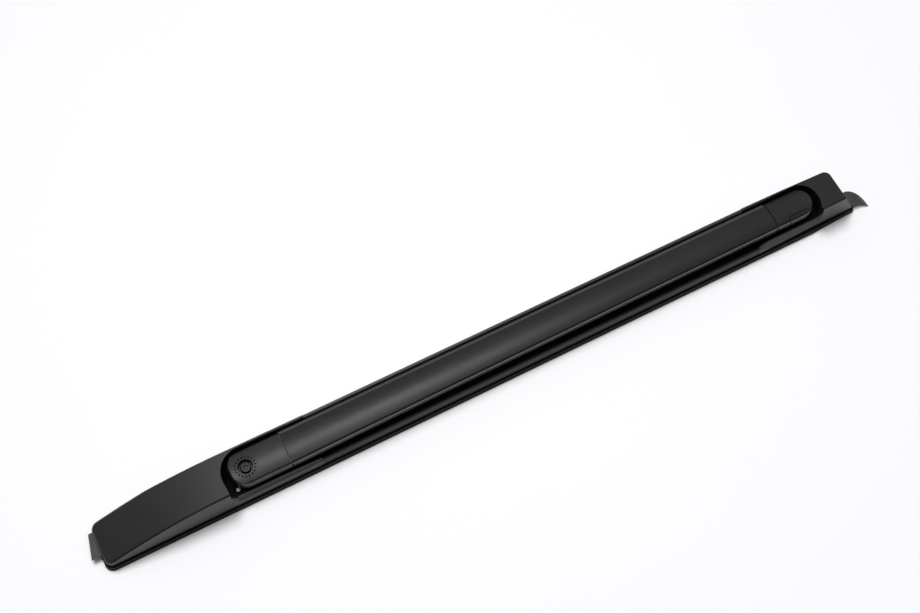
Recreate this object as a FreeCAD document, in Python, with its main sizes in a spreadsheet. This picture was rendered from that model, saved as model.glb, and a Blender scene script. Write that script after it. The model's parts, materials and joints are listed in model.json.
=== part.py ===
import FreeCAD, Part
import math
import os
import re
import Sketcher

V = FreeCAD.Vector

doc = FreeCAD.newDocument("RoofRail")

# Driving sizes in millimetres and degrees. Lengths along the rail are measured from the pivot axis,
# heights from the roof, widths from the middle of the base. Names ending in _in are measured from the
# nose of the pad and names ending in _back from its tail.
SIZES = {
    # Reach of the gasket pad to either side of the pivot, and how far the two hooks stand out
    "nose_len": 253.0, "tail_len": 1097.0, "tongue_out": 14.0, "claw_out": 25.0,
    # Gasket pad and the shadow groove above it
    "pad_half": 42.0, "pad_high": 10.0, "pad_draft": 9.0, "groove_high": 2.5, "neck_half": 35.6,
    "nose_far": 37.5, "bend_back": 87.0, "tail_near": 38.0, "tail_far": 33.0, "tail_slant": 9.0, "bend_far": 38.0,
    "neck_in": 45.0, "neck_back": 67.0, "corner_big": 14.0, "corner_tail": 6.0,
    # Metal spine under the mouldings
    "spine_thick": 3.0, "spine_half": 33.4, "spine_in": 19.0, "spine_back": 25.0,
    "spine_end_near": 28.0, "spine_end_far": 20.0, "spine_bend_far": 27.0, "spine_corner": 9.0,
    # Middle beam section
    "nose_joint": 113.0, "joint_back": 190.0, "joint_gap": 0.3,
    "sill_out": 37.8, "sill_high": 26.4, "sill_ridge": 33.4, "sill_in": 30.6, "floor_thick": 3.0,
    "wall_top": 52.2, "wall_nose": 38.3, "wall_tail": 34.8,
    # Nose moulding
    "cover_top": 57.0, "crease_half": 33.0, "nose_far_top": 37.2, "nose_far_low": 40.4,
    "body_in": 3.0, "nose_arc": 658.0, "nose_flat": 31.0, "nose_fall_end": 20.55,
    "mouth_nose": 39.5, "mouth_run": 10.5, "mouth_rise": 14.6, "pocket_nose": 40.3, "pocket_far": 33.6,
    "nose_round": 40.0, "sill_inner": 23.0, "sill_root": 4.0, "ledge_high": 29.4, "ledge_ridge": 32.5,
    # Tail moulding
    "top_back": 27.0, "low_back": 6.0, "cover_draft": 5.0,
    "tail_far_low": 37.5, "end_far_low": 30.5, "end_near_low": 34.4,
    "mouth_back": 70.5, "pocket_back": 66.0, "pocket_tail_far": 28.0, "tail_round": 30.0, "mouth_round": 33.0,
    "wall_run": 20.0, "wall_high": 30.2, "wall_ridge": 30.6, "foot_run": 4.5, "fall_run": 90.0,
    "edge_round": 4.0, "edge_soft": 1.2, "crease_bevel": 2.4,
    # Crossbar section at its two ends
    "bar_low": 31.0, "bar_high": 54.0, "bar_edge": 50.2, "bar_side_top": 46.4, "bar_belly": 5.0,
    "near_pivot": 27.5, "far_pivot": 30.4, "near_latch": 24.3, "far_latch": 25.6, "bar_shoulder": 3.8,
    "crown_pivot": 84.9, "crown_latch": 62.0, "bar_wall": 3.2, "bar_start": 67.2, "stop_back": 150.0,
    "seam_back": 156.0, "bar_end_half": 34.0, "bar_end_round": 146.5, "seam_gap": 1.3, "spigot_play": 0.5,
    "spigot_long": 26.0,
    # Caps of the crossbar
    "cap_turn": 2.0, "cap_corner": 24.0, "cap_rim": 2.0, "recess_half": 12.0, "recess_floor": 45.0,
    "cap_back": 76.0, "latch_corner": 24.0, "blank_long": 89.0,
    # Paddle of the latch
    "lever_back": 128.0, "lever_long": 37.0, "lever_play": 0.4, "pin_across": 17.9, "pin_high": 45.4,
    "barrel_half": 5.9, "barrel_play": 0.35, "lever_inner": 20.6, "lever_foot": 33.4, "pin_half": 1.5,
    "pin_play": 0.05, "pin_back": 135.0, "pin_long": 48.0, "coil_room": 4.3, "coil_half": 2.9,
    "coil_wire": 0.4, "coil_back": 113.0, "coil_long": 8.0,
    # Pivot stack
    "bolt_half": 4.0, "bolt_play": 0.06, "bolt_foot": 17.0, "head_half": 8.8, "head_high": 4.6, "head_dome": 1.4,
    "socket_half": 4.2, "socket_deep": 3.2, "washer_half": 10.6, "washer_thick": 1.3, "stack_play": 0.1,
    "bush_half": 8.0, "bush_play": 0.02, "boss_half": 11.0, "boss_gap": 0.4, "plate_half": 14.0,
    "plate_thick": 2.6, "plate_room": 1.2,
    # Hooks
    "hook_low": 10.2, "hook_thick": 2.0, "tongue_near": 15.0, "tongue_far": 26.0, "tongue_slant": 10.0,
    "root_back": 57.0, "turn_back": 3.0, "claw_far": 4.0, "claw_near": 31.0, "claw_tip": 41.5,
    "claw_drop": 0.6, "claw_round": 34.0,
    # Fasteners and rests
    "rivet_half": 2.4, "rivet_head": 4.2, "rivet_cap": 1.4, "rivet_fit": 0.02, "rivet_in": 40.0,
    "rivet_back": 49.0, "screw_half": 1.6, "screw_head": 3.2, "screw_cap": 2.4,
    "screw_fit": 0.02, "screw_nose": 23.5, "screw_across": 17.0, "screw_back": 112.0,
    "insert_half": 8.0, "insert_bore": 3.4, "insert_rise": 0.5, "insert_play": 0.6, "insert_first": 150.0,
    "insert_back": 107.0, "rest_long": 50.0, "rest_wide": 26.0, "rest_gap": 0.5,
}

sheet = doc.addObject("Spreadsheet::Sheet", "Sheet")
for row, (alias, number) in enumerate(SIZES.items(), start=1):
    sheet.set("A%d" % row, alias)
    sheet.set("B%d" % row, str(number))
    sheet.setAlias("B%d" % row, alias)
doc.recompute()

SHIFT = "+0.5*nose_len+0.5*tongue_out-0.5*tail_len-0.5*claw_out"
COVER_Z = "pad_high+groove_high"
SPINE_Z = "pad_high+groove_high+spine_thick"
FLOOR_Z = "pad_high+groove_high+spine_thick+floor_thick"
NOSE_END = "-nose_len+body_in"
SPINE_NOSE = "-nose_len+spine_in"
NECK_NOSE = "-nose_len+neck_in"
NECK_TAIL = "tail_len-neck_back"
TAIL_BEND = "tail_len-bend_back"
SPINE_TAIL = "tail_len-spine_back"
TAIL_JOINT = "tail_len-joint_back"
MOUTH_TAIL = "tail_len-mouth_back"
POCKET_TAIL = "tail_len-pocket_back"
BAR_STOP = "tail_len-stop_back"
BAR_SEAM = "tail_len-seam_back"
CAP_END = "tail_len-cap_back"
LEVER_START = "tail_len-lever_back"
PIN_START = "tail_len-pin_back"
COIL_START = "tail_len-coil_back"
CLAW_ROOT = "tail_len-root_back"
CLAW_TURN = "tail_len-turn_back"
CLAW_TIP = "tail_len+claw_out"
TURN = FreeCAD.Rotation


def number(text):
    """Value of a sum of products of named sizes and plain numbers."""
    total = 0.0
    for sign, term in re.findall(r"([+-]?)([^+-]+)", text.replace(" ", "")):
        value = -1.0 if sign == "-" else 1.0
        for factor in term.split("*"):
            value *= SIZES[factor] if factor in SIZES else float(factor)
        total += value
    return total


def bound(text):
    """The same sum written with the cells of the sheet."""
    return re.sub(r"[a-z][a-z_]*", lambda found: "Sheet." + found.group(0), text)


def bind(obj, prop, text):
    obj.setExpression(prop, bound(text))


def new_body(label):
    body = doc.addObject("PartDesign::Body", label)
    body.Label = label
    bind(body, "Placement.Base.x", SHIFT[1:])
    return body


def new_sketch(body, plane, offset="0"):
    """Sketch on an origin plane of the body, moved along the plane's normal."""
    sketch = body.newObject("Sketcher::SketchObject", body.Label + "_sketch")
    support = [item for item in body.Origin.OriginFeatures if item.Role == plane][0]
    sketch.AttachmentSupport = [(support, "")]
    sketch.MapMode = "FlatFace"
    sketch.AttachmentOffset = FreeCAD.Placement(V(0, 0, number(offset)), TURN())
    if offset != "0":
        bind(sketch, "AttachmentOffset.Base.z", offset)
    return sketch


def arc_piece(start, stop, radius, side):
    """Arc between two points; side is +1 when its centre lies left of the way."""
    chord = stop - start
    half = 0.5 * chord.Length
    rise = math.sqrt(max(radius * radius - half * half, 0.0))
    left = V(-chord.y, chord.x, 0) / chord.Length
    centre = (start + stop) * 0.5 + left * (rise * side)
    first, last = (start, stop) if side > 0 else (stop, start)
    angles = [math.atan2(point.y - centre.y, point.x - centre.x) for point in (first, last)]
    if angles[1] < angles[0]:
        angles[1] += 2 * math.pi
    return Part.ArcOfCircle(Part.Circle(centre, V(0, 0, 1), radius), angles[0], angles[1])


def outline(sketch, corners):
    """Closed outline; each corner is (x, y) or (x, y, radius, side) when an arc leads on from it."""
    points = [V(number(corner[0]), number(corner[1]), 0) for corner in corners]
    first_geo = sketch.GeometryCount
    ends = []
    for index, corner in enumerate(corners):
        start = points[index]
        stop = points[(index + 1) % len(points)]
        if len(corner) == 2:
            sketch.addGeometry(Part.LineSegment(start, stop))
            ends.append((1, 2))
        else:
            sketch.addGeometry(arc_piece(start, stop, number(corner[2]), corner[3]))
            ends.append((1, 2) if corner[3] > 0 else (2, 1))
    for index, corner in enumerate(corners):
        geo = first_geo + index
        after = (index + 1) % len(corners)
        sketch.addConstraint(
            Sketcher.Constraint("Coincident", geo, ends[index][1], first_geo + after, ends[after][0]))
    for index, corner in enumerate(corners):
        geo = first_geo + index
        for kind, text in zip(("DistanceX", "DistanceY"), corner[:2]):
            place = sketch.addConstraint(
                Sketcher.Constraint(kind, -1, 1, geo, ends[index][0], number(text)))
            sketch.renameConstraint(place, "%s_%d" % (kind.lower(), geo))
            bind(sketch, "Constraints.%s_%d" % (kind.lower(), geo), text)
        if len(corner) == 4:
            place = sketch.addConstraint(Sketcher.Constraint("Radius", geo, number(corner[2])))
            sketch.renameConstraint(place, "radius_%d" % geo)
            bind(sketch, "Constraints.radius_%d" % geo, corner[2])
    return sketch


def ring(sketch, centre_x, centre_y, radius):
    """Circle with its centre and radius bound to the sheet."""
    geo = sketch.addGeometry(
        Part.Circle(V(number(centre_x), number(centre_y), 0), V(0, 0, 1), number(radius)))
    for kind, text in (("DistanceX", centre_x), ("DistanceY", centre_y)):
        place = sketch.addConstraint(Sketcher.Constraint(kind, -1, 1, geo, 3, number(text)))
        sketch.renameConstraint(place, "%s_%d" % (kind.lower(), geo))
        bind(sketch, "Constraints.%s_%d" % (kind.lower(), geo), text)
    place = sketch.addConstraint(Sketcher.Constraint("Radius", geo, number(radius)))
    sketch.renameConstraint(place, "radius_%d" % geo)
    bind(sketch, "Constraints.radius_%d" % geo, radius)
    return sketch


def pad(body, sketch, length, back=False):
    feature = body.newObject("PartDesign::Pad", body.Label + "_pad")
    feature.Profile = sketch
    feature.Length = number(length)
    bind(feature, "Length", length)
    feature.Reversed = back
    return feature


def pocket(body, sketch, length=None, upward=False, both=False):
    """Cut from the sketch; without a length it goes through everything."""
    feature = body.newObject("PartDesign::Pocket", body.Label + "_pocket")
    feature.Profile = sketch
    if both:
        feature.Midplane = True
    if length is None:
        feature.Type = "ThroughAll"
    else:
        feature.Length = number(length)
        bind(feature, "Length", length)
    feature.Reversed = upward
    doc.recompute()
    return feature


def loft(body, first, last, kind="PartDesign::AdditiveLoft"):
    feature = body.newObject(kind, body.Label + "_loft")
    feature.Profile = first
    feature.Sections = [last]
    feature.Ruled = True
    doc.recompute()
    return feature


def picked_edges(base, chosen):
    """The edges of a feature that the test picks by their bounding box."""
    doc.recompute()
    return (base, ["Edge%d" % index for index, edge in enumerate(base.Shape.Edges, start=1)
                   if chosen(edge.BoundBox)])


def fillet(body, base, radius, chosen):
    """Rounds the chosen edges of the base feature."""
    edges = picked_edges(base, chosen)
    feature = body.newObject("PartDesign::Fillet", body.Label + "_fillet")
    feature.Base = edges
    feature.Radius = number(radius)
    bind(feature, "Radius", radius)
    doc.recompute()
    return feature


def chamfer(body, base, size, chosen):
    """Bevels the chosen edges of the base feature."""
    edges = picked_edges(base, chosen)
    feature = body.newObject("PartDesign::Chamfer", body.Label + "_chamfer")
    feature.Base = edges
    feature.Size = number(size)
    bind(feature, "Size", size)
    doc.recompute()
    return feature


def top_rim(box):
    """Test for the upper edges round the end of a cap."""
    return box.ZMin > number("bar_side_top") - 0.5 and box.ZMax > number("bar_edge") - 0.5 and box.YLength > 1


def draft(body, base, angle, chosen):
    """Leans the chosen upright faces inward from the lowest face of the base feature."""
    doc.recompute()
    names = []
    for index, face in enumerate(base.Shape.Faces, start=1):
        if face.BoundBox.ZLength > 1.0 and chosen(face.BoundBox):
            names.append("Face%d" % index)
        if face.BoundBox.ZMax < base.Shape.BoundBox.ZMin + 0.01:
            lowest = "Face%d" % index
    feature = body.newObject("PartDesign::Draft", body.Label + "_draft")
    feature.Base = (base, names)
    feature.NeutralPlane = (base, [lowest])
    feature.Angle = number(angle)
    bind(feature, "Angle", angle)
    feature.Reversed = False
    doc.recompute()
    return feature


def near(value, text, slack=0.2):
    return abs(value - number(text)) < slack


def upright_at(places, slack=0.6):
    """Test for standing edges whose middle lies near one of the given points."""
    def chosen(box):
        if box.ZLength < 1.5:
            return False
        return any(abs(box.Center.x - number(x)) < slack + 0.5 * box.XLength
                   and abs(box.Center.y - number(y)) < slack + 0.5 * box.YLength
                   and box.XLength < 30 and box.YLength < 30 for x, y in places)
    return chosen


def solid(kind, label, sizes, place, turn=None):
    """Primitive with its sizes and its place bound to the sheet."""
    shape = doc.addObject(kind, label)
    shape.Label = label
    for prop, text in sizes.items():
        bind(shape, prop, text)
    shape.Placement = FreeCAD.Placement(V(0, 0, 0), turn or TURN())
    bind(shape, "Placement.Base.x", place[0] + SHIFT)
    bind(shape, "Placement.Base.y", place[1])
    bind(shape, "Placement.Base.z", place[2])
    return shape


def cut(label, base, tool):
    result = doc.addObject("Part::Cut", label)
    result.Label = label
    result.Base = base
    result.Tool = tool
    return result


def fuse(label, pieces):
    result = doc.addObject("Part::MultiFuse", label)
    result.Label = label
    result.Shapes = pieces
    return result


def common(label, base, tool):
    result = doc.addObject("Part::Common", label)
    result.Label = label
    result.Base = base
    result.Tool = tool
    return result


def group(label, pieces):
    result = doc.addObject("Part::Compound", label)
    result.Label = label
    result.Links = pieces
    return result


def hexagon(place, radius):
    """Corners of a six-sided outline about a point on the middle line of the rail."""
    corners = [("1", "0"), ("0.5", "0.866"), ("-0.5", "0.866"), ("-1", "0"), ("-0.5", "-0.866"), ("0.5", "-0.866")]
    terms = radius.split("+")
    points = []
    for factors in corners:
        sums = ["".join("%s%s*%s" % ("" if factor[0] == "-" else "+", factor, term) for term in terms)
                for factor in factors]
        points.append((place + sums[0], sums[1]))
    return points


INSERTS = ["-insert_first", "0.5*tail_len-0.5*insert_back-0.5*insert_first", "tail_len-insert_back"]
RIVETS = [("-nose_len+rivet_in", "0.5*tongue_far-0.5*tongue_near"),
          ("tail_len-rivet_back", "-0.5*claw_near-0.5*claw_far")]
SCREWS = [("-screw_nose", "-screw_across"), ("tail_len-screw_back", "-0.8*screw_across")]

# Gasket pad: drafted strip with rounded corners and a narrower neck that leaves the groove
body = new_body("base_pad")
foot = outline(new_sketch(body, "XY_Plane"), [
    ("-nose_len", "-pad_half"), (TAIL_BEND, "-pad_half"), ("tail_len", "-tail_near"),
    ("tail_len-tail_slant", "tail_far"), (TAIL_BEND, "bend_far"), ("0", "pad_half"), ("-nose_len", "nose_far")])
strip = pad(body, foot, "pad_high")
strip = draft(body, strip, "pad_draft", lambda box: True)
strip = fillet(body, strip, "corner_big", upright_at(
    [("-nose_len", "-pad_half"), ("tail_len-tail_slant", "tail_far"), ("-nose_len", "nose_far")], 3.0))
strip = fillet(body, strip, "corner_tail", upright_at([("tail_len", "-tail_near")], 3.0))
neck = outline(new_sketch(body, "XY_Plane", "pad_high"), [
    (NECK_NOSE, "-neck_half"), (NECK_TAIL, "-neck_half+2"), (NECK_TAIL, "spine_bend_far"),
    ("0", "neck_half"), (NECK_NOSE, "neck_half-4")])
pad(body, neck, "groove_high")
holes = new_sketch(body, "XY_Plane", "pad_high+groove_high")
for place in INSERTS:
    outline(holes, hexagon(place, "insert_half+insert_play"))
pocket(body, holes)

# Spine: flat strip with rounded corners and rivet holes
body = new_body("spine")
plan = outline(new_sketch(body, "XY_Plane", COVER_Z), [
    (SPINE_NOSE, "-spine_half"), (TAIL_BEND, "-spine_half"), (SPINE_TAIL, "-spine_end_near"),
    (SPINE_TAIL, "spine_end_far"), (TAIL_BEND, "spine_bend_far"), ("0", "spine_half"),
    (SPINE_NOSE, "spine_half-4")])
strip = pad(body, plan, "spine_thick")
fillet(body, strip, "spine_corner", upright_at([
    (SPINE_NOSE, "-spine_half"), (SPINE_NOSE, "spine_half-4"), (SPINE_TAIL, "-spine_end_near"),
    (SPINE_TAIL, "spine_end_far")]))
holes = new_sketch(body, "XY_Plane", SPINE_Z)
for x, y in RIVETS:
    ring(holes, x, y, "rivet_half+rivet_fit")
pocket(body, holes)


def floor_section(body, place, wall):
    """Low near sill with the floor that lies on the spine."""
    return outline(new_sketch(body, "YZ_Plane", place), [
        ("-sill_out", COVER_Z), ("-sill_out+2", "sill_high-3.4"), ("-sill_ridge-1.2", "sill_high-0.8"),
        ("-sill_ridge", "sill_high"), ("-sill_ridge+1.8", "sill_high-0.6"), ("-sill_in", FLOOR_Z),
        (wall + "-7.4-joint_gap", FLOOR_Z), (wall + "-7.4-joint_gap", SPINE_Z), ("-spine_half-0.8", SPINE_Z),
        ("-spine_half-0.8", COVER_Z)])


def wall_section(body, place, wall):
    """Tall back wall, drawn in toward its rounded top."""
    return outline(new_sketch(body, "YZ_Plane", place), [
        (wall + "-7.4", SPINE_Z), (wall + "-7.4", FLOOR_Z), (wall + "-6.9", "wall_top-1.7"),
        (wall + "-6", "wall_top-0.2"), (wall + "-2.6", "wall_top"), (wall + "-1.6", "wall_top-1.2"),
        (wall + "+1.5", COVER_Z), (wall + "-2.4", COVER_Z), (wall + "-2.4", SPINE_Z)])


# Middle beam: sill strip and back wall, both drawn together toward the tail
for label, section in (("rail_beam", floor_section), ("back_wall", wall_section)):
    body = new_body(label)
    loft(body, section(body, "nose_joint+joint_gap", "wall_nose"),
         section(body, TAIL_JOINT + "-joint_gap", "wall_tail"))


def sill(body, first, last):
    """Near sill run between two sections, each a place along the rail and its five points."""
    ends = [outline(new_sketch(body, "YZ_Plane", place), points) for place, points in (first, last)]
    loft(body, ends[0], ends[1])


def sill_points(outer, shoulder, ridge, flat):
    """Outer foot, shoulder, ridge, inner edge of the ledge and inner foot of a sill section."""
    return [(outer, COVER_Z), shoulder, ridge, (flat, ridge[1]), ("-sill_inner+sill_root", COVER_Z)]


SILL_AT_BEAM = sill_points("-sill_out", ("-sill_out+2", "sill_high-3.4"), ("-sill_ridge", "sill_high"),
                           "-sill_ridge+1.8")

# Nose moulding: long sloping shell with the pivot pocket open to the near side
body = new_body("nose_cover")
block = outline(new_sketch(body, "YZ_Plane", NOSE_END), [
    ("-sill_out", COVER_Z), ("nose_far_low", COVER_Z), ("nose_far_top", "cover_top"),
    ("-crease_half", "cover_top")])
pad(body, block, "nose_len-body_in+nose_joint")
slope = outline(new_sketch(body, "XZ_Plane"), [
    (NOSE_END + "-10", "cover_top+9"), (NOSE_END + "-10", "nose_fall_end-4"),
    (NOSE_END, "nose_fall_end", "nose_arc", -1), ("-nose_flat", "cover_top-0.05"), ("nose_joint+5", "wall_top"),
    ("nose_joint+5", "cover_top+9")])
pocket(body, slope, both=True)
plan = outline(new_sketch(body, "XY_Plane", "cover_top+10"), [
    ("-0.25*nose_len", "nose_far_low+1"), (NOSE_END + "-10", "nose_far_low+1"), (NOSE_END + "-10", "nose_far-3.4")])
top = pocket(body, plan)
top = fillet(body, top, "corner_big-1.5", upright_at(
    [(NOSE_END, "-sill_out+0.6"), (NOSE_END, "nose_far-3")], 3.0))
chamfer(body, top, "crease_bevel", lambda box: box.Center.z > number("nose_fall_end") - 3
        and box.ZMax < number("cover_top") + 0.3 and box.ZMin > number("nose_fall_end") - 6
        and box.Center.x < number("nose_joint") - 5 and not (
            near(box.Center.x, "-nose_flat", 1) and box.YLength > 20))
mouth = outline(new_sketch(body, "XY_Plane", "cover_top+10"), [
    ("-mouth_nose", "-pad_half-10"), ("nose_joint+5", "-pad_half-10"), ("nose_joint+5", "-sill_inner"),
    ("-mouth_nose", "-sill_inner")])
pocket(body, mouth)
basin = outline(new_sketch(body, "XY_Plane", "cover_top+10"), [
    ("-mouth_nose", "-sill_inner-1"), ("nose_joint+5", "-sill_inner-1"), ("nose_joint+5", "pocket_far-0.6"),
    ("-pocket_nose+nose_round", "pocket_far", "nose_round", 1),
    ("-pocket_nose", "pocket_far-nose_round")])
pocket(body, basin, "cover_top+10-pad_high-groove_high-spine_thick-floor_thick")
LEDGE = sill_points("-sill_out", ("-sill_out+1.1", "ledge_high-7"), ("-ledge_ridge", "ledge_high"), "-sill_inner-2")
RISE = sill_points("-sill_out", ("-sill_out+2.7", "ledge_high+mouth_rise-7"),
                   ("-ledge_ridge-0.9", "ledge_high+mouth_rise"), "-sill_inner-2")
sill(body, ("-mouth_nose-1", RISE), ("-mouth_nose+mouth_run", LEDGE))
sill(body, ("-mouth_nose+mouth_run", LEDGE), ("nose_joint", SILL_AT_BEAM))
cavity = outline(new_sketch(body, "XY_Plane", COVER_Z), [
    (NOSE_END + "+6", "-spine_half-0.8"), ("nose_joint+5", "-spine_half-0.8"), ("nose_joint+5", "spine_half+1"),
    ("0", "spine_half+1"), (NOSE_END + "+6", "spine_half-3.4")])
pocket(body, cavity, "spine_thick", upward=True)
hollow = outline(new_sketch(body, "XZ_Plane"), [
    (NOSE_END + "+28", COVER_Z), ("-mouth_nose-12", COVER_Z), ("-mouth_nose-12", "cover_top-9"),
    (NOSE_END + "+28", "nose_fall_end+1")])
pocket(body, hollow, "2*spine_half-8", both=True)
seat = outline(new_sketch(body, "XY_Plane", FLOOR_Z), [
    ("-plate_half-plate_room", "-plate_half-plate_room"), ("plate_half+plate_room", "-plate_half-plate_room"),
    ("plate_half+plate_room", "plate_half+plate_room"), ("-plate_half-plate_room", "plate_half+plate_room")])
pocket(body, seat, "floor_thick+spine_thick")
hole = ring(new_sketch(body, "XY_Plane", FLOOR_Z), SCREWS[0][0], SCREWS[0][1], "screw_half+screw_fit")
pocket(body, hole, "floor_thick+spine_thick")

# Tail moulding: raked end drawn in toward the back, with the latch pocket
body = new_body("tail_cover")
block = pad(body, outline(new_sketch(body, "XY_Plane", COVER_Z), [
    (TAIL_JOINT + "-20", "-sill_out-0.3"), ("tail_len+10", "-end_near_low"), ("tail_len+10", "end_far_low"),
    (TAIL_JOINT + "-20", "tail_far_low")]), "cover_top-pad_high-groove_high")
draft(body, block, "cover_draft", lambda box: box.XLength > 50)
trim = outline(new_sketch(body, "XZ_Plane"), [
    (TAIL_JOINT + "-40", COVER_Z + "-1"), (TAIL_JOINT, COVER_Z + "-1"), (TAIL_JOINT, "cover_top+5"),
    (TAIL_JOINT + "-40", "cover_top+5")])
pocket(body, trim, both=True)
rake = outline(new_sketch(body, "XZ_Plane"), [
    ("tail_len-low_back", COVER_Z + "-1"), ("tail_len+20", COVER_Z + "-1"), ("tail_len+20", "cover_top+5"),
    ("tail_len-top_back", "cover_top+5"), ("tail_len-top_back", "cover_top")])
top = pocket(body, rake, both=True)
top = fillet(body, top, "edge_round-0.5", lambda box: box.ZMin > number("cover_top") - 0.5
             and box.Center.y < -20 and box.XLength > 50)
top = fillet(body, top, "corner_big-3", lambda box: box.ZLength > 30 and box.Center.y > 0
             and box.Center.x > number("tail_len-top_back"))
top = fillet(body, top, "edge_soft", lambda box: box.ZMin > number("cover_top") - 0.5
             and box.Center.x > number("tail_len-top_back") - 2 and box.YLength > 20)
fall = outline(new_sketch(body, "XZ_Plane"), [
    (TAIL_JOINT + "-5", "wall_top"), (TAIL_JOINT + "+fall_run", "cover_top"),
    (TAIL_JOINT + "+fall_run", "cover_top+9"), (TAIL_JOINT + "-5", "cover_top+9")])
pocket(body, fall, both=True)
mouth = outline(new_sketch(body, "XY_Plane", "cover_top+10"), [
    (TAIL_JOINT + "-5", "-pad_half-10"), (MOUTH_TAIL, "-pad_half-10"), (MOUTH_TAIL, "-sill_inner+1"),
    (TAIL_JOINT + "-5", "-sill_inner+1")])
pocket(body, mouth)
basin = outline(new_sketch(body, "XY_Plane", "cover_top+10"), [
    (TAIL_JOINT + "-5", "-sill_inner-1"), (MOUTH_TAIL, "-sill_inner-1", "mouth_round", 1),
    (POCKET_TAIL, "pocket_tail_far-tail_round", "tail_round", 1),
    (POCKET_TAIL + "-tail_round", "pocket_tail_far"), (TAIL_JOINT + "-5", "pocket_tail_far+0.6")])
pocket(body, basin, "cover_top+10-pad_high-groove_high-spine_thick-floor_thick")
WALL = sill_points("-sill_out+0.2", ("-sill_out+0.8", "wall_high-13"), ("-wall_ridge", "wall_high"), "-wall_ridge+1.6")
FOOT = sill_points("-sill_out+1.9", ("-sill_out+2.4", "wall_high-12"), ("-wall_ridge+1", "wall_high"),
                   "-wall_ridge+3.6")
HEEL = sill_points("-sill_out+2", ("-sill_out+3.5", "wall_high"), ("-wall_ridge-1.4", "wall_high+mouth_rise-1"),
                   "-sill_inner-2")
sill(body, (TAIL_JOINT, SILL_AT_BEAM), (TAIL_JOINT + "+wall_run", WALL))
sill(body, (TAIL_JOINT + "+wall_run", WALL), (MOUTH_TAIL + "-foot_run", FOOT))
sill(body, (MOUTH_TAIL + "-foot_run", FOOT), (MOUTH_TAIL + "+1", HEEL))
cavity = outline(new_sketch(body, "XY_Plane", COVER_Z), [
    (TAIL_JOINT + "-5", "-spine_half-0.8"), (TAIL_BEND + "-4", "-spine_half-0.8"),
    (SPINE_TAIL + "+4", "-spine_end_near-1"), (SPINE_TAIL + "+4", "spine_end_far+1.4"),
    (TAIL_BEND + "+4", "spine_bend_far+1.4"), (TAIL_JOINT + "-5", "spine_bend_far+2.4")])
pocket(body, cavity, "spine_thick", upward=True)
room = outline(new_sketch(body, "XY_Plane", COVER_Z), [
    (RIVETS[1][0] + "-8", "-spine_end_near"), (RIVETS[1][0] + "+10", "-spine_end_near"), (RIVETS[1][0] + "+10", "0"),
    (RIVETS[1][0] + "-8", "0")])
pocket(body, room, "spine_thick+8", upward=True)
hole = ring(new_sketch(body, "XY_Plane", FLOOR_Z), SCREWS[1][0], SCREWS[1][1], "screw_half+screw_fit")
pocket(body, hole, "floor_thick+spine_thick")


def bar_section(body, place, near_side, far_side, crown):
    """Crowned bar section with bevelled corners."""
    return outline(new_sketch(body, "YZ_Plane", place), [
        ("-" + near_side + "+bar_belly", "bar_low"),
        (far_side + "-bar_belly", "bar_low"),
        (far_side, "bar_low+bar_belly"),
        (far_side, "bar_side_top"),
        (far_side + "-bar_shoulder", "bar_edge", crown, 1),
        ("-" + near_side + "+bar_shoulder", "bar_edge"),
        ("-" + near_side, "bar_side_top"),
        ("-" + near_side, "bar_low+bar_belly")])


def core_section(body, place, near_side, far_side, play):
    """Plain rectangle inside the bar section."""
    left = "-" + near_side + "+bar_wall+0.8" + play
    right = far_side + "-bar_wall-0.8" + play.replace("+", "-")
    low = "bar_low+bar_wall" + play
    high = "bar_edge-bar_wall" + play.replace("+", "-")
    return outline(new_sketch(body, "YZ_Plane", place), [
        (left, low), (right, low), (right, high), (left, high)])


def end_cut(body, gap, beyond, high="bar_high+10"):
    """Region beyond (or before) the bulging seam at the latch end of the bar."""
    start = BAR_SEAM + gap
    return outline(new_sketch(body, "XY_Plane", high), [
        (start, "-bar_end_half", "bar_end_round", 1), (start, "bar_end_half"), (beyond, "bar_end_half"),
        (beyond, "-bar_end_half")])


# Crossbar: hollow crowned bar, narrower toward the latch, with a bulging end
body = new_body("crossbar")
loft(body, bar_section(body, "bar_start", "near_pivot", "far_pivot", "crown_pivot"),
     bar_section(body, BAR_STOP, "near_latch", "far_latch", "crown_latch"))
loft(body, core_section(body, "bar_start-1", "near_pivot", "far_pivot", ""),
     core_section(body, BAR_STOP + "+1", "near_latch", "far_latch", ""), "PartDesign::SubtractiveLoft")
pocket(body, end_cut(body, "", BAR_STOP + "+20"))

# Pivot cap: rounded end of the bar with the bolt recess and a spigot into the bar
body = new_body("pivot_cap")
pad(body, bar_section(body, "bar_start-seam_gap", "near_pivot", "far_pivot", "crown_pivot"),
    "bar_start+cap_turn+cap_corner+5", back=True)
end = outline(new_sketch(body, "XY_Plane", "bar_high+10"), [
    ("-cap_turn", "-near_pivot", "cap_corner", -1), ("-cap_turn-cap_corner", "-near_pivot+cap_corner"),
    ("-cap_turn-cap_corner", "far_pivot-cap_corner", "cap_corner", -1), ("-cap_turn", "far_pivot"),
    ("-cap_turn", "pad_half"), ("-2*pad_half", "pad_half"), ("-2*pad_half", "-pad_half"),
    ("-cap_turn", "-pad_half")])
rounded = pocket(body, end)
chamfer(body, rounded, "cap_rim", lambda box: top_rim(box) and box.XMax < 0.5 - number("cap_turn"))
spigot = core_section(body, "bar_start-seam_gap-1", "near_pivot", "far_pivot", "+spigot_play")
pad(body, spigot, "spigot_long")
well = ring(new_sketch(body, "XY_Plane", "bar_high+10"), "0", "0", "recess_half")
pocket(body, well, "bar_high+10-recess_floor")
bore = ring(new_sketch(body, "XY_Plane", "bar_high+10"), "0", "0", "bush_half+bush_play")
pocket(body, bore)

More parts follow.
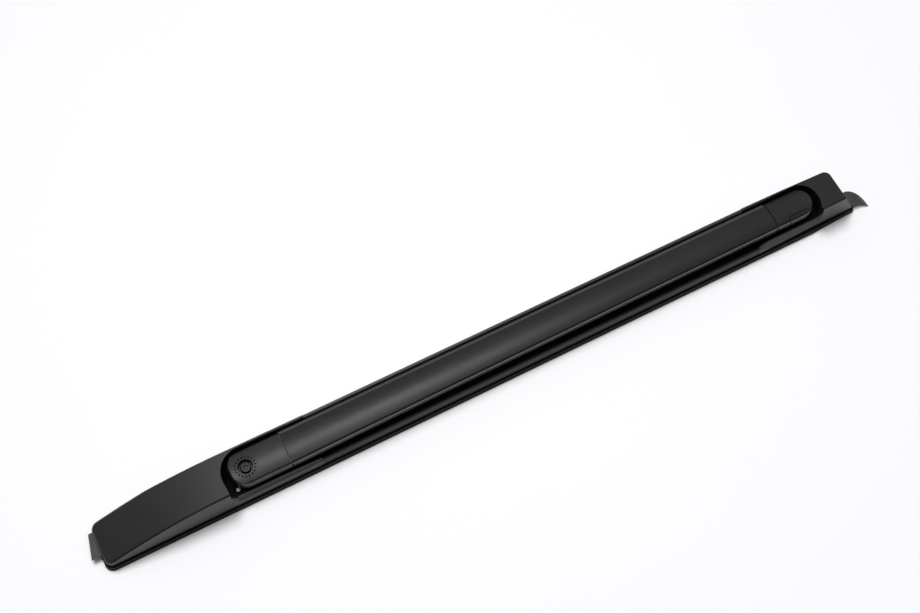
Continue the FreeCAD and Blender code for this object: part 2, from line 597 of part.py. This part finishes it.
# Blank of the latch cap, later shared between the cap and its paddle
body = new_body("latch_blank")
pad(body, bar_section(body, CAP_END + "-blank_long", "near_latch", "far_latch", "crown_latch"), "blank_long+2")
fore = end_cut(body, "+seam_gap", CAP_END + "-blank_long-20")
pocket(body, fore)
end = outline(new_sketch(body, "XY_Plane", "bar_high+10"), [
    (CAP_END + "-latch_corner", "-near_latch", "latch_corner", 1), (CAP_END, "-near_latch+latch_corner"),
    (CAP_END, "far_latch-latch_corner", "latch_corner", 1), (CAP_END + "-latch_corner", "far_latch"),
    (CAP_END + "-latch_corner", "pad_half"), (CAP_END + "+20", "pad_half"), (CAP_END + "+20", "-pad_half"),
    (CAP_END + "-latch_corner", "-pad_half")])
rounded = pocket(body, end)
chamfer(body, rounded, "cap_rim", lambda box: top_rim(box) and box.XMin > number(
    CAP_END + "-latch_corner") - 0.5)
latch_blank = body

# Paddle: barrel round the pin and a skirt down the near side of the cap
ALONG = TURN(V(0, 1, 0), 90)


def paddle_tool(label, play, start, long):
    """Space that the paddle fills, or with play the room that the cap leaves for it."""
    barrel = solid("Part::Cylinder", label + "_barrel", {"Radius": "barrel_half" + play, "Height": long},
                   (start, "-pin_across", "pin_high"), ALONG)
    skirt = solid("Part::Box", label + "_skirt", {
        "Length": long, "Width": "pad_half-lever_inner" + play, "Height": "pin_high-lever_foot" + play},
        (start, "-pad_half", "lever_foot" + play.replace("+", "-")))
    brow = solid("Part::Box", label + "_brow", {
        "Length": long, "Width": "pad_half-pin_across", "Height": "bar_high-pin_high+1"},
        (start, "-pad_half", "pin_high"))
    return fuse(label, [barrel, skirt, brow])


def pin_bore(label, radius, start, long):
    return solid("Part::Cylinder", label, {"Radius": radius, "Height": long},
                 (start, "-pin_across", "pin_high"), ALONG)


paddle = common("paddle", latch_blank, paddle_tool(
    "paddle_form", "", LEVER_START, "lever_long"))
cut("latch_lever", paddle, fuse("paddle_bores", [
    pin_bore("paddle_bore", "pin_half+pin_play", LEVER_START + "-5", "lever_long+10"),
    pin_bore("coil_space", "coil_room", COIL_START + "-1", "coil_long+2")]))
spigot_body = new_body("latch_spigot")
pad(spigot_body, core_section(spigot_body, BAR_STOP + "-2", "near_latch", "far_latch", "+spigot_play"),
    "spigot_long", back=True)
latch_room = paddle_tool(
    "lever_room", "+barrel_play", LEVER_START + "-lever_play", "lever_long+2*lever_play")
hollowed = cut("latch_body", fuse("latch_whole", [latch_blank, spigot_body]), latch_room)
cut("latch_cap", hollowed, pin_bore(
    "cap_bore", "pin_half+pin_play", PIN_START + "-0.2", "pin_long+0.4"))
pin_bore("lever_pin", "pin_half", PIN_START, "pin_long")

# Return spring, a closely wound sleeve round the pin
cut("lever_spring", pin_bore("spring_outside", "coil_half+coil_wire", COIL_START, "coil_long"),
    pin_bore("spring_inside", "coil_half-coil_wire", COIL_START + "-1", "coil_long+2"))

# Pivot bolt: shank, domed head and six-sided socket
HEAD_Z = "recess_floor+stack_play+washer_thick"
body = new_body("pivot_bolt")
half = outline(new_sketch(body, "XZ_Plane"), [
    ("0", "bolt_foot"), ("bolt_half", "bolt_foot"), ("bolt_half", HEAD_Z), ("head_half", HEAD_Z),
    ("head_half", HEAD_Z + "+head_high-head_dome"), ("head_half-head_dome", HEAD_Z + "+head_high"),
    ("0", HEAD_Z + "+head_high")])
turned = body.newObject("PartDesign::Revolution", "pivot_bolt_turned")
turned.Profile = half
turned.ReferenceAxis = (half, ["V_Axis"])
turned.Angle = 360
doc.recompute()
socket = outline(new_sketch(body, "XY_Plane", HEAD_Z + "+head_high"), hexagon("0", "socket_half"))
pocket(body, socket, "socket_deep")


def sleeve(label, outer, inner, low, high):
    """Round ring about the pivot axis."""
    body = new_body(label)
    sketch = ring(new_sketch(body, "XY_Plane", low), "0", "0", outer)
    ring(sketch, "0", "0", inner)
    pad(body, sketch, high)
    return body


sleeve("pivot_washer", "washer_half", "bolt_half+5*bolt_play", "recess_floor+stack_play", "washer_thick")
sleeve("pivot_bush", "bush_half", "bolt_half+bolt_play", "bar_low-stack_play",
       "recess_floor-bar_low+stack_play")
body = sleeve("pivot_bracket", "boss_half", "bolt_half+0.5*bolt_play", SPINE_Z,
              "bar_low-boss_gap-pad_high-groove_high-spine_thick")
flange = outline(new_sketch(body, "XY_Plane", SPINE_Z), [
    ("-plate_half", "-plate_half"), ("plate_half", "-plate_half"), ("plate_half", "plate_half"),
    ("-plate_half", "plate_half")])
ring(flange, "0", "0", "bolt_half+0.5*bolt_play")
pad(body, flange, "plate_thick")

# Nose tongue: flat sheet under the spine with a slanting free edge turned slightly down
body = new_body("nose_hook")
plan = outline(new_sketch(body, "XY_Plane", "hook_low"), [
    (NECK_NOSE + "-joint_gap", "-tongue_near+2"), (NECK_NOSE + "-joint_gap", "tongue_far-2"),
    ("-nose_len", "tongue_far"), ("-nose_len-tongue_out+tongue_slant", "tongue_far"),
    ("-nose_len-tongue_out", "-tongue_near"), ("-nose_len", "-tongue_near+0.6")])
tongue = pad(body, plan, "hook_thick")
fillet(body, tongue, "edge_soft", upright_at([("-nose_len-tongue_out+tongue_slant", "tongue_far")]))
hole = ring(new_sketch(body, "XY_Plane", "hook_low+hook_thick"), RIVETS[0][0], RIVETS[0][1], "rivet_half+rivet_fit")
pocket(body, hole)

# Tail claw: sheet that leaves the spine flat and curls down to a point
curl = new_body("claw_curl")
CURL_Z = "hook_low+hook_thick"
outline_curl = outline(new_sketch(curl, "XZ_Plane"), [
    (CLAW_ROOT, "hook_low"), (CLAW_TURN, "hook_low", "claw_round", -1), (CLAW_TIP + "-2.6", "claw_drop"),
    (CLAW_TIP, "claw_drop", "claw_round+hook_thick", 1), (CLAW_TURN, CURL_Z), (CLAW_ROOT, CURL_Z)])
run = pad(curl, outline_curl, "2*pad_half")
run.Midplane = True
fin = new_body("claw_plan")
outline_fin = outline(new_sketch(fin, "XY_Plane"), [
    (CLAW_ROOT, "-claw_near"), (CLAW_TURN + "-1", "-claw_near", "claw_round+6", -1),
    (CLAW_TIP, "-claw_tip"), (CLAW_TIP, "-claw_tip+1.2", "claw_round", 1),
    (CLAW_TURN + "+3", "-claw_far"), (CLAW_ROOT, "-claw_far")])
pad(fin, outline_fin, "cover_top")
claw = common("claw_sheet", curl, fin)
cut("tail_hook", claw, solid("Part::Cylinder", "claw_hole", {
    "Radius": "rivet_half+rivet_fit", "Height": "hook_thick+4"}, RIVETS[1] + ("hook_low-2",)))

# Rivets of both hooks, flush below and headed above the spine
ROUND_SIDES = 12
rivets = []
for index, (x, y) in enumerate(RIVETS):
    shank = solid("Part::Prism", "rivet_shank_%d" % index, {
        "Circumradius": "rivet_half", "Height": SPINE_Z + "-hook_low+0.5*rivet_cap"}, (x, y, "hook_low"))
    head = solid("Part::Prism", "rivet_head_%d" % index, {
        "Circumradius": "rivet_head", "Height": "rivet_cap"}, (x, y, SPINE_Z))
    shank.Polygon = head.Polygon = ROUND_SIDES
    rivets.append(fuse("rivet_%d" % index, [shank, head]))
group("hook_rivets", rivets)

# Screws in the pocket floors
screws = []
for index, (x, y) in enumerate(SCREWS):
    shank = solid("Part::Prism", "screw_shank_%d" % index, {
        "Circumradius": "screw_half", "Height": "floor_thick+0.5*screw_cap"}, (x, y, SPINE_Z))
    head = solid("Part::Prism", "screw_head_%d" % index, {
        "Circumradius": "screw_head", "Height": "screw_cap"}, (x, y, FLOOR_Z))
    shank.Polygon = head.Polygon = ROUND_SIDES
    screws.append(fuse("screw_%d" % index, [shank, head]))
group("cover_screws", screws)

# Six-sided threaded inserts under the spine
inserts = []
for index, x in enumerate(INSERTS):
    outer = solid("Part::Prism", "insert_body_%d" % index, {
        "Circumradius": "insert_half", "Height": COVER_Z + "-insert_rise"}, (x, "0", "insert_rise"))
    inner = solid("Part::Cylinder", "insert_bore_%d" % index, {
        "Radius": "insert_bore", "Height": COVER_Z + "-2*insert_rise"}, (x, "0", "0"))
    inserts.append(cut("insert_%d" % index, outer, inner))
group("roof_inserts", inserts)

# Soft rests on the beam floor, just clear of the stowed bar
rests = []
for index in range(3):
    rests.append(solid("Part::Box", "rest_%d" % index, {
        "Length": "rest_long", "Width": "rest_wide",
        "Height": "bar_low-rest_gap-pad_high-groove_high-spine_thick-floor_thick"},
        ("0.18*tail_len+%.2f*tail_len" % (0.28 * index), "-0.5*rest_wide", FLOOR_Z)))
group("bar_rests", rests)

doc.recompute()

NODES = [
    "base_pad", "spine", "rail_beam", "back_wall", "nose_cover", "tail_cover", "crossbar", "pivot_cap", "latch_cap",
    "latch_lever", "lever_pin", "lever_spring", "pivot_bolt", "pivot_washer", "pivot_bush", "pivot_bracket",
    "nose_hook", "tail_hook", "hook_rivets", "cover_screws", "roof_inserts", "bar_rests"]

failed = [item.Name for item in doc.Objects if "Invalid" in item.State or "Error" in item.State]
if failed:
    raise RuntimeError("features failed: " + ", ".join(failed))

os.makedirs("parts", exist_ok=True)
for node in NODES:
    shape = doc.getObjectsByLabel(node)[0].Shape
    if shape.isNull() or not shape.isValid():
        raise RuntimeError("bad shape: " + node)
    shape.exportStep("parts/" + node + ".step")
    print(node, len(shape.Solids), round(shape.Volume / 1000.0, 2), shape.BoundBox)
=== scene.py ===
import json
import math

import bpy
from mathutils import Matrix, Vector

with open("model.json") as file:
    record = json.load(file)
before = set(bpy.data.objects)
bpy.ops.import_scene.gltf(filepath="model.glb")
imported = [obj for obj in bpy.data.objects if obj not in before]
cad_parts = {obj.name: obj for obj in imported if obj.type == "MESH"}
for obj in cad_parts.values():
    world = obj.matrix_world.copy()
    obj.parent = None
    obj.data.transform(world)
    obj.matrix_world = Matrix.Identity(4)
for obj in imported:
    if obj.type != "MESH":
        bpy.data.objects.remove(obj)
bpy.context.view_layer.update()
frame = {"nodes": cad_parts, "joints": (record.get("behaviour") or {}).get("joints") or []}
nodes = frame["nodes"]

# The bar turns about this upright axis, in metres like all places below
PIVOT = Vector([joint for joint in frame["joints"] if joint["name"] == "bar_swing"][0]["pos_m"])

# Ring of dark ticks on the pivot cap, and the bolt recess, which is painted dark as shade, by radius from
# the axis
TICKS = 18
TICK_INNER, TICK_OUTER = 0.0138, 0.0173
TICK_FADE = 0.0003
RECESS_RADIUS = 0.0124

# Outline of the paddle on the latch cap
PADDLE_CENTRE = Vector((0.5605, -0.0276, 0.0))
PADDLE_HALVES = (0.0205, 0.0124)
PADDLE_ROUND = 0.008
CAP_TOP_FROM = 0.046

# Lower and upper edge of the bar's shoulders, where pale lines are painted highlights, and the top of the
# gasket, below which the groove is painted dark as shade
SHOULDER_LOW = Vector((0.0, 0.0, 0.0464))
SHOULDER_HIGH = Vector((0.0, 0.0, 0.0502))
GASKET_TOP = Vector((0.0, 0.0, 0.0100))

# Channel that the bar lies in, whose inner faces are painted dark as shade: middle and half length, sides,
# and how the far side draws in
CHANNEL_MIDDLE, CHANNEL_HALF = 0.0680, 0.5375
CHANNEL_NEAR, CHANNEL_FAR = -0.0315, 0.0322
CHANNEL_TAPER = 0.0043
COVER_RIM, BEAM_RIM = 0.0555, 0.0505

# Colours and grain
NEUTRAL = (1.0, 1.0, 1.02)
BRASS_TINT = (1.0, 0.8, 0.42)
EVEN = (1.0, 1.0, 1.0)
DRAWN_ALONG = (0.4, 1.0, 1.0)
BRUSHED = (1.0, 12.0, 1.0)
# Near black tone, dull gloss and low shine for painted shade in the channels, the gasket groove and the
# bolt recess, and for the dark paddle outline and ticks
SHADE_AND_LINE_TONE, SHADE_AND_LINE_ROUGH, SHADE_AND_LINE_SHINE = 0.004, 0.9, 0.14


class Look:
    """Node material built step by step, with the place on the piece at hand."""

    def __init__(self, name):
        self.material = bpy.data.materials.new(name)
        self.material.use_nodes = True
        self.tree = self.material.node_tree
        self.tree.nodes.clear()
        self.output = self.add("ShaderNodeOutputMaterial")
        self.place = self.add("ShaderNodeTexCoord").outputs["Object"]

    def add(self, kind, **settings):
        node = self.tree.nodes.new(kind)
        for key, value in settings.items():
            setattr(node, key, value)
        return node

    def feed(self, socket, value):
        """Link a socket, or set a constant on it."""
        if isinstance(value, bpy.types.NodeSocket):
            self.tree.links.new(value, socket)
        else:
            socket.default_value = value

    def noise(self, vector, scale, detail=3.0):
        node = self.add("ShaderNodeTexNoise")
        self.feed(node.inputs["Vector"], vector)
        self.feed(node.inputs["Scale"], scale)
        self.feed(node.inputs["Detail"], detail)
        return node.outputs["Fac"]

    def stretched(self, scale):
        node = self.add("ShaderNodeMapping")
        self.feed(node.inputs["Vector"], self.place)
        self.feed(node.inputs["Scale"], scale)
        return node.outputs["Vector"]

    def math(self, operation, first, second=0.0):
        node = self.add("ShaderNodeMath", operation=operation)
        self.feed(node.inputs[0], first)
        self.feed(node.inputs[1], second)
        return node.outputs[0]

    def span(self, value, low, high, new_low=0.0, new_high=1.0):
        """Rise from new_low to new_high while the value goes from low to high."""
        node = self.add("ShaderNodeMapRange")
        for socket, number in zip(node.inputs, (value, low, high, new_low, new_high)):
            self.feed(socket, number)
        return node.outputs[0]

    def fall(self, value, low, high):
        """Fall from one to zero while the value goes from low to high."""
        return self.span(value, low, high, 1.0, 0.0)

    def blend(self, factor, first, second):
        node = self.add("ShaderNodeMix", data_type="RGBA")
        self.feed(node.inputs["Factor"], factor)
        self.feed(node.inputs["A"], first)
        self.feed(node.inputs["B"], second)
        return node.outputs["Result"]


def grey(tone, tint=NEUTRAL):
    return (*(tone * share for share in tint), 1.0)


def from_point(look, point):
    """Place on the piece measured from a point of the frame, as three sockets."""
    shifted = look.add("ShaderNodeVectorMath", operation="SUBTRACT")
    look.feed(shifted.inputs[0], look.place)
    look.feed(shifted.inputs[1], point)
    parts = look.add("ShaderNodeSeparateXYZ")
    look.feed(parts.inputs[0], shifted.outputs[0])
    return parts.outputs["X"], parts.outputs["Y"], parts.outputs["Z"]


def product(look, *factors):
    result = factors[0]
    for factor in factors[1:]:
        result = look.math("MULTIPLY", result, factor)
    return result


def length(look, first, second):
    squares = [look.math("POWER", value, 2.0) for value in (first, second)]
    return look.math("SQRT", look.math("ADD", *squares))


def tick_ring(look):
    """One in the short strokes round the pivot recess, zero elsewhere."""
    along, across, height = from_point(look, PIVOT)
    radius = length(look, along, across)
    turn = look.math("MULTIPLY", look.math("ARCTAN2", across, along), TICKS / (2 * math.pi))
    middle = look.math("ABSOLUTE", look.math("SUBTRACT", look.math("FRACT", turn), 0.5))
    return product(
        look,
        look.span(radius, TICK_INNER, TICK_INNER + TICK_FADE),
        look.fall(radius, TICK_OUTER - TICK_FADE, TICK_OUTER),
        look.fall(middle, 0.20, 0.26),
        look.span(height, 0.006, 0.007))


def recess(look):
    """One down in the round recess of the pivot bolt, which is painted dark as shade, zero elsewhere."""
    along, across, height = from_point(look, PIVOT)
    return product(
        look,
        look.fall(length(look, along, across), RECESS_RADIUS - 0.0005, RECESS_RADIUS),
        look.fall(height, 0.0105, 0.0130))


def cap_recess_shade_and_ticks(look):
    return look.math("MAXIMUM", recess(look), tick_ring(look))


def panel_line(look):
    """One along the round-cornered outline of the paddle on top of the latch cap, zero elsewhere."""
    along, across, height = from_point(look, PADDLE_CENTRE)
    reach = [look.math("SUBTRACT", look.math("ABSOLUTE", value), half - PADDLE_ROUND)
             for value, half in zip((along, across), PADDLE_HALVES)]
    outside = length(look, *(look.math("MAXIMUM", value, 0.0) for value in reach))
    inside = look.math("MINIMUM", look.math("MAXIMUM", *reach), 0.0)
    away = look.math("ABSOLUTE", look.math("SUBTRACT", look.math("ADD", outside, inside), PADDLE_ROUND))
    on_top = look.span(height, CAP_TOP_FROM, CAP_TOP_FROM + 0.001)
    return product(look, look.fall(away, 0.0003, 0.0006), on_top)


def painted_edge_highlight(look):
    """One along the lower edge of the bar's shoulders, where a pale line is a painted highlight, zero
    elsewhere.
    """
    height = from_point(look, SHOULDER_LOW)[2]
    return product(look, look.span(height, -0.0006, 0.0), look.fall(height, 0.0008, 0.0015))


def far_edge_highlight(look):
    """Nearly one along the bar's upper edge on the side of the back wall, where a pale line is a painted
    highlight, zero elsewhere.
    """
    across, height = from_point(look, SHOULDER_HIGH)[1:]
    return product(
        look,
        look.span(height, -0.0004, 0.0),
        look.fall(height, 0.0001, 0.0004),
        look.span(across, 0.0, 0.005, 0.0, 0.8))


# Both pale lines on the bar are painted highlights
def bar_edge_highlights(look):
    return look.math("MAXIMUM", far_edge_highlight(look), painted_edge_highlight(look))


def groove(look):
    """One on the upper face of the gasket, down in the groove under the covers, which is painted dark as
    shade, zero on its sides.
    """
    return look.span(from_point(look, GASKET_TOP)[2], -0.0008, -0.0002)


def channel(look, rim):
    """One on the faces down inside the channel, which are painted dark as shade, zero on the outside and
    above the rim.
    """
    along, across, height = from_point(look, Vector((CHANNEL_MIDDLE, 0.0, rim)))
    drawn_in = look.math("ADD", across, look.math("MULTIPLY", along, CHANNEL_TAPER))
    return product(
        look,
        look.fall(look.math("ABSOLUTE", along), CHANNEL_HALF - 0.001, CHANNEL_HALF),
        look.span(across, CHANNEL_NEAR, CHANNEL_NEAR + 0.0025),
        look.fall(drawn_in, CHANNEL_FAR - 0.0012, CHANNEL_FAR),
        look.fall(height, -0.006, 0.0))


def cover_channel_shade(look):
    return channel(look, COVER_RIM)


def beam_channel_shade(look):
    return channel(look, BEAM_RIM)


def coated(name, tone, rough, grain=900.0, bump=0.0004, metal=0.0, edge=0.0006, specular=0.5,
           stretch=EVEN, tint=NEUTRAL, painted_highlight=None, highlight_tone=0.10, painted_shade_and_dark_lines=None):
    """Coat, moulding or metal: cloudy tone and gloss, fine grain, soft edges, pale lines that are painted
    highlights, and near black masks that paint shade into hollows and draw dark lines.
    """
    look = Look(name)
    vector = look.stretched(stretch)
    cloud = look.span(look.noise(vector, 14.0, 4.0), 0.3, 0.7)
    colour = look.blend(cloud, grey(tone * 0.85, tint), grey(tone * 1.15, tint))
    gloss = look.span(cloud, 0.0, 1.0, rough - 0.03, rough + 0.03)
    height = look.noise(vector, grain, 2.0)
    # Painted highlight: pale lines in the highlight tone, with a little bump
    if painted_highlight:
        mask = painted_highlight(look)
        colour = look.blend(mask, colour, grey(highlight_tone))
        height = look.math("ADD", height, look.math("MULTIPLY", mask, 2.0))
    # Painted shade in hollows, and dark lines, drawn near black with dull gloss and little shine
    if painted_shade_and_dark_lines:
        mask = painted_shade_and_dark_lines(look)
        colour = look.blend(mask, colour, grey(SHADE_AND_LINE_TONE))
        gloss = look.math("MAXIMUM", gloss, look.math("MULTIPLY", mask, SHADE_AND_LINE_ROUGH))
        specular = look.span(mask, 0.0, 1.0, specular, SHADE_AND_LINE_SHINE)
    shader = look.add("ShaderNodeBsdfPrincipled")
    look.feed(shader.inputs["Base Color"], colour)
    look.feed(shader.inputs["Roughness"], gloss)
    look.feed(shader.inputs["Metallic"], metal)
    look.feed(shader.inputs["Specular IOR Level"], specular)
    soft = look.add("ShaderNodeBevel", samples=8)
    look.feed(soft.inputs["Radius"], edge)
    relief = look.add("ShaderNodeBump")
    look.feed(relief.inputs["Strength"], 0.25)
    look.feed(relief.inputs["Distance"], bump)
    look.feed(relief.inputs["Height"], height)
    look.feed(relief.inputs["Normal"], soft.outputs["Normal"])
    look.feed(shader.inputs["Normal"], relief.outputs["Normal"])
    look.feed(look.output.inputs["Surface"], shader.outputs["BSDF"])
    return look.material


# Mouldings
# Painted shade: the faces down inside the covers' channel are drawn near black
moulding = coated("satin_moulding", 0.011, 0.38, edge=0.0008, painted_shade_and_dark_lines=cover_channel_shade)
# Painted highlight as a pale line at the shoulder height, painted shade in the bolt recess, and dark ticks
# round it
cap_moulding = coated("cap_moulding", 0.019, 0.36, painted_highlight=painted_edge_highlight, painted_shade_and_dark_lines=cap_recess_shade_and_ticks)
# Painted highlight as a pale line at the shoulder height; the paddle outline is drawn as a dark line
latch_moulding = coated("latch_moulding", 0.012, 0.38, painted_highlight=painted_edge_highlight, highlight_tone=0.16, painted_shade_and_dark_lines=panel_line)

# Coated lengths of the bar and the rail
# Painted highlights as pale lines along the bar's upper far edge and its lower shoulder edge
bar_coat = coated("bar_coat", 0.010, 0.36, grain=700.0, stretch=DRAWN_ALONG, painted_highlight=bar_edge_highlights, highlight_tone=0.18)
# Painted shade: the faces down inside the rail's channel are drawn near black
beam_coat = coated("beam_coat", 0.006, 0.40, edge=0.0012, specular=0.3, stretch=DRAWN_ALONG,
                   painted_shade_and_dark_lines=beam_channel_shade)
# Painted light: the back wall has the same black coat as the rail, drawn paler than the other black coats
# so its shaded inner face reads lit
wall_coat_painted_light = coated("wall_coat_painted_light", 0.030, 0.40, edge=0.0012, stretch=DRAWN_ALONG)

# Rubber
# Painted shade: the gasket's upper face in the groove under the covers is drawn near black
gasket = coated("gasket_rubber", 0.006, 0.60, specular=0.12, painted_shade_and_dark_lines=groove, grain=500.0, bump=0.0006)
rest_rubber = coated("rest_rubber", 0.012, 0.60, specular=0.2, grain=500.0, bump=0.0006)

# Metal
hook_paint = coated("hook_paint", 0.045, 0.45, grain=1200.0, edge=0.0004)
dark_steel = coated("dark_steel", 0.04, 0.32, metal=0.9, edge=0.0003)
bolt_steel = coated("bolt_steel", 0.038, 0.24, metal=1.0, edge=0.0004)
brass = coated("brass_bush", 0.60, 0.30, metal=1.0, edge=0.0003, tint=BRASS_TINT)
bright_steel = coated("bright_steel", 0.55, 0.30, metal=1.0, edge=0.0003)
zinc = coated("zinc_screw", 0.75, 0.50, metal=0.3, edge=0.0003)
strip_metal = coated("strip_metal", 0.50, 0.40, metal=1.0, stretch=BRUSHED)

LOOKS = {
    moulding: ("nose_cover", "tail_cover"),
    latch_moulding: ("latch_cap", "latch_lever"),
    cap_moulding: ("pivot_cap",),
    bar_coat: ("crossbar",),
    beam_coat: ("rail_beam",),
    wall_coat_painted_light: ("back_wall",),
    gasket: ("base_pad",),
    rest_rubber: ("bar_rests",),
    hook_paint: ("nose_hook", "tail_hook"),
    bolt_steel: ("pivot_bolt",),
    dark_steel: ("pivot_washer", "pivot_bracket"),
    brass: ("pivot_bush",),
    bright_steel: ("lever_pin", "lever_spring", "hook_rivets", "roof_inserts"),
    zinc: ("cover_screws",),
    strip_metal: ("spine",)}
for material, names in LOOKS.items():
    for name in names:
        mesh = nodes[name].data
        mesh.materials.clear()
        mesh.materials.append(material)

# Pale floor that keeps the contact shadow
paper = Look("floor_paper")
sheet = paper.add("ShaderNodeBsdfDiffuse")
paper.feed(sheet.inputs["Color"], paper.blend(paper.noise(paper.place, 3.0), grey(0.94), grey(0.955)))
paper.feed(paper.output.inputs["Surface"], sheet.outputs["BSDF"])
bpy.ops.mesh.primitive_plane_add(size=30.0, location=(0.0, 0.0, -0.0002))
floor = bpy.context.object
floor.name = "floor"
floor.data.materials.append(paper.material)

# Studio surround: dim toward the viewer's side, paler overhead and behind
world = bpy.data.worlds.new("studio")
world.use_nodes = True
bpy.context.scene.world = world
tree = world.node_tree
surround = tree.nodes["Background"]
surround.inputs["Color"].default_value = (1.0, 1.0, 1.0, 1.0)
direction = tree.nodes.new("ShaderNodeTexCoord")
toward = tree.nodes.new("ShaderNodeVectorMath")
toward.operation = "DOT_PRODUCT"
toward.inputs[1].default_value = (0.0, 0.35, 0.94)
level = tree.nodes.new("ShaderNodeMapRange")
for key, number in {"From Min": 0.25, "From Max": 0.95, "To Min": 0.03, "To Max": 0.48}.items():
    level.inputs[key].default_value = number
tree.links.new(direction.outputs["Generated"], toward.inputs[0])
tree.links.new(toward.outputs["Value"], level.inputs["Value"])
tree.links.new(level.outputs["Result"], surround.inputs["Strength"])


def lamp(name, kind, place, turn, **settings):
    data = bpy.data.lights.new(name, kind)
    for key, value in settings.items():
        setattr(data, key, value)
    holder = bpy.data.objects.new(name, data)
    bpy.context.scene.collection.objects.link(holder)
    holder.location = place
    holder.rotation_euler = [math.radians(angle) for angle in turn]
    return holder


# A long box over the pivot half, and an even fill from behind
lamp("bar_box", "AREA", (-0.05, 0.30, 2.25), (0, 0, -17),
     shape="RECTANGLE", size=1.1, size_y=0.5, energy=12.5)
fill = lamp("fill", "SUN", (0.0, 1.0, 2.8), (-22, 0, 0), energy=1.88, angle=math.radians(22))
fill.visible_glossy = False

# Camera placed by the measured perspective of the photograph
YAW, PITCH = math.radians(27.34), math.radians(65.5)
EYE = Vector((-0.4995, -0.854, 2.381))
FOCAL_PIXELS, PHOTO_PIXELS, SENSOR_WIDTH = 1600.0, 920.0, 36.0
ahead = Vector((math.sin(YAW) * math.cos(PITCH), math.cos(YAW) * math.cos(PITCH), -math.sin(PITCH)))
right = Vector((math.cos(YAW), -math.sin(YAW), 0.0))
camera_data = bpy.data.cameras.new("camera")
camera_data.sensor_width = SENSOR_WIDTH
camera_data.lens = SENSOR_WIDTH * FOCAL_PIXELS / PHOTO_PIXELS
camera = bpy.data.objects.new("camera", camera_data)
bpy.context.scene.collection.objects.link(camera)
turn = Matrix((right, -ahead.cross(right), -ahead)).transposed().to_4x4()
camera.matrix_world = Matrix.Translation(EYE) @ turn
bpy.context.scene.camera = camera
bpy.context.scene.view_settings.view_transform = "Standard"

bpy.context.view_layer.update()
